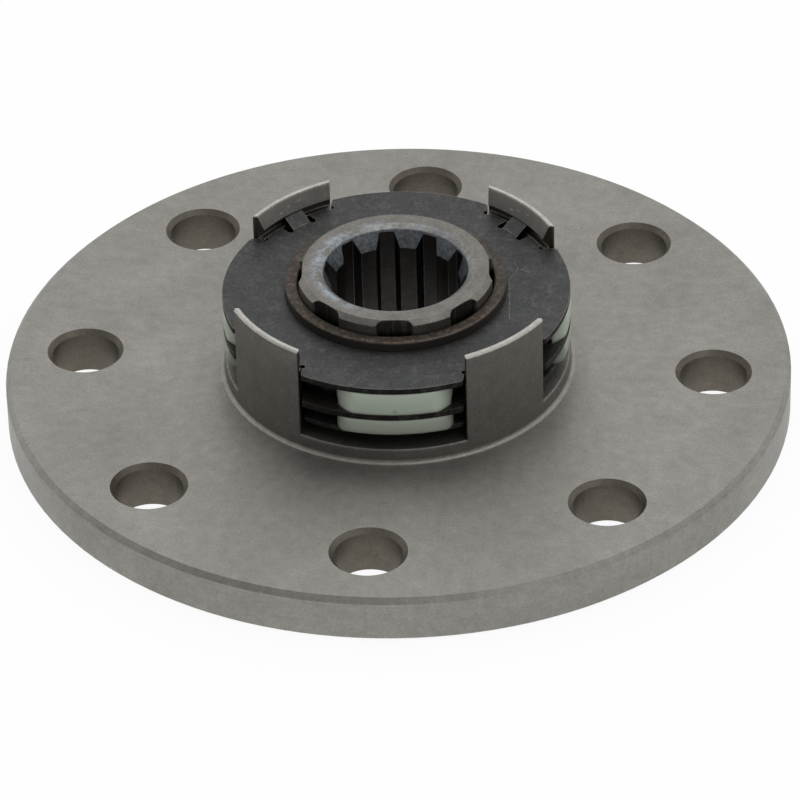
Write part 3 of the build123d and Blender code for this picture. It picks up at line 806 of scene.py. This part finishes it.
class DAMPER_OT_springs(bpy.types.Operator):
    """Winds the four coil springs, with closed and ground ends, in place of the CAD's plain coils"""

    bl_idname = "damper.springs"
    bl_label = "Coil springs"

    # Turns that lie closed at each end, their pitch in wires, and how much of the wire is ground off
    closed_turns = 0.75
    closed_pitch = 1.04
    ground_share = 0.25

    # Points round the wire, steps along a turn, and the share of its length kept at full twist
    wire_points = 14
    steps_a_turn = 28
    twist_keep = 0.754

    def execute(self, context):
        sizes = context.scene.damper_sizes
        steel = oiled_steel("oiled_spring", context.scene.damper_colours.spring)
        for index in range(SPRING_COUNT):
            self.wind(index, steel, sizes.wire, sizes.turns)
        return {"FINISHED"}

    def wind(self, index, steel, wire, turns):
        """One spring: a wire circle spun up in three stretches, ground flat at both ends."""
        node = f"spring_{index + 1}"
        place, length, radius = self.room(index, frame["nodes"][node].data.vertices)
        mesh = bmesh.new()
        coil = radius - wire / 2
        start = Vector((coil, 0, self.ground_share * wire - length / 2))
        upright = Matrix.Translation(start) @ Matrix.Rotation(math.pi / 2, 4, "X")
        bmesh.ops.create_circle(
            mesh, cap_ends=True, segments=self.wire_points, radius=wire / 2, matrix=upright
        )
        closed_rise = self.closed_turns * self.closed_pitch * wire
        open_rise = length - 2 * self.ground_share * wire - 2 * closed_rise
        closed = (self.closed_turns, closed_rise)
        ring = mesh.edges[:]
        for stretch in (closed, (turns - 2 * self.closed_turns, open_rise), closed):
            ring = self.spin(mesh, ring, *stretch)
        bmesh.ops.contextual_create(mesh, geom=ring)
        for end in (-1, 1):
            self.grind(mesh, end, length)
        bmesh.ops.recalc_face_normals(mesh, faces=mesh.faces)
        for face in mesh.faces:
            face.smooth = len(face.verts) == 4
        bmesh.ops.transform(mesh, matrix=place, verts=mesh.verts)
        spring = add_object(f"coil_spring_{index + 1}", mesh)
        spring.data.materials.append(steel)
        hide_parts(node)
        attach(spring, HOUSING)
        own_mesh(spring)

    def room(self, index, points):
        """Place of a CAD spring, with z along its coil and x outwards, its length and its radius."""
        angle = WINDOW_ANGLE + index * math.pi / 2 + SPRING_TURN
        outwards = Vector((math.cos(angle), math.sin(angle), 0))
        along = AXIS.cross(outwards)
        turned = Matrix((outwards, along.cross(outwards), along)).transposed()
        seen = [turned.transposed() @ point.co for point in points]
        low = Vector(min(point[i] for point in seen) for i in range(3))
        high = Vector(max(point[i] for point in seen) for i in range(3))
        middle = turned @ ((low + high) / 2)
        return Matrix.Translation(middle) @ turned.to_4x4(), high.z - low.z, (high.y - low.y) / 2

    def spin(self, mesh, ring, turns, rise):
        """Spins a ring of edges up the coil's axis, and gives the ring at the far end."""
        steps = round(turns * self.steps_a_turn)
        made = bmesh.ops.spin(
            mesh, geom=ring, cent=(0, 0, 0), axis=AXIS, dvec=AXIS * rise / steps,
            angle=turns * 2 * math.pi, steps=steps, use_merge=False,
        )
        return [part for part in made["geom_last"] if isinstance(part, bmesh.types.BMEdge)]

    def grind(self, mesh, end, length):
        """Cuts an end of the coil flat and closes the cut."""
        cut = bmesh.ops.bisect_plane(
            mesh, geom=mesh.verts[:] + mesh.edges[:] + mesh.faces[:], dist=1e-7,
            plane_co=AXIS * end * length / 2, plane_no=AXIS * end, clear_outer=True,
        )
        edges = [part for part in cut["geom_cut"] if isinstance(part, bmesh.types.BMEdge)]
        bmesh.ops.holes_fill(mesh, edges=edges)


class DAMPER_OT_guides(bpy.types.Operator):
    """Finishes the plastic guides, each with a gate mark on its upper lip"""

    bl_idname = "damper.guides"
    bl_label = "Guides"

    # The gate mark's size and height, the height below which painted shade darkens the plastic, the
    # distances from the middle over which painted shade darkens the lips, and the radius of their edges
    gate_radius = 0.0007
    gate_height = 0.0276
    drive_level = 0.0255
    lip_ends = (0.0100, 0.0146)
    soft_edge = 0.0014

    def execute(self, context):
        plastic = self.moulded(context.scene.damper_colours)
        for number in range(1, SPRING_COUNT + 1):
            cover(f"guide_{number}", plastic)
        return {"FINISHED"}

    def moulded(self, colours):
        paint = Paint("guide_plastic_and_painted_shade")
        cloud = paint.noise(160, 3.0)
        sideways = paint.folded(SPRING_COUNT, WINDOW_ANGLE + SPRING_TURN, 0.0)[1]
        # Painted shade: the lips are painted darker towards their ends
        ends = 1 - abs(sideways).step(*self.lip_ends) * 0.38
        high = paint.z - self.gate_height
        gate = ((sideways * sideways + high * high) ** 0.5).step(self.gate_radius, self.gate_radius * 0.6)
        # Painted shade: the lower lips, below the drive plate's level, are painted darker
        lower = paint.z.step(self.drive_level, self.drive_level + 0.0005) * 0.25 + 0.75
        colour = paint.shade(colours.plastic, centred(cloud, 0.05) * (1 - gate * 0.25) * lower * ends)
        height = cloud * 0.5 - gate
        rough = paint.noise(900, 3.0) * 0.15 + 0.26
        return paint.feed(colour, rough, height, depth=0.00006, normal=paint.round(self.soft_edge))


class DAMPER_PT_panel(bpy.types.Panel):
    """Lists the damper's steps, sizes and colours in the sidebar"""

    bl_idname = "DAMPER_PT_panel"
    bl_label = "Torsional Damper"
    bl_space_type = "VIEW_3D"
    bl_region_type = "UI"
    bl_category = "Damper"

    def draw(self, context):
        for step in STEPS:
            self.layout.operator(step.bl_idname)
        scene = context.scene
        for group in (scene.damper_sizes, scene.damper_colours, scene.damper_stage):
            for name in group.__annotations__:
                self.layout.prop(group, name)


STEPS = (
    DAMPER_OT_stage,
    DAMPER_OT_flange,
    DAMPER_OT_hub,
    DAMPER_OT_plates,
    DAMPER_OT_bushes,
    DAMPER_OT_linings,
    DAMPER_OT_springs,
    DAMPER_OT_guides,
)
CLASSES = (DamperSizes, DamperColours, DamperStage, *STEPS, DAMPER_PT_panel)


def register():
    for made in CLASSES:
        bpy.utils.register_class(made)
    bpy.types.Scene.damper_sizes = PointerProperty(type=DamperSizes)
    bpy.types.Scene.damper_colours = PointerProperty(type=DamperColours)
    bpy.types.Scene.damper_stage = PointerProperty(type=DamperStage)


def unregister():
    del bpy.types.Scene.damper_sizes
    del bpy.types.Scene.damper_colours
    del bpy.types.Scene.damper_stage
    for made in reversed(CLASSES):
        bpy.utils.unregister_class(made)


def main():
    register()
    for step in STEPS:
        group, name = step.bl_idname.split(".")
        getattr(getattr(bpy.ops, group), name)()


if __name__ == "__main__":
    main()
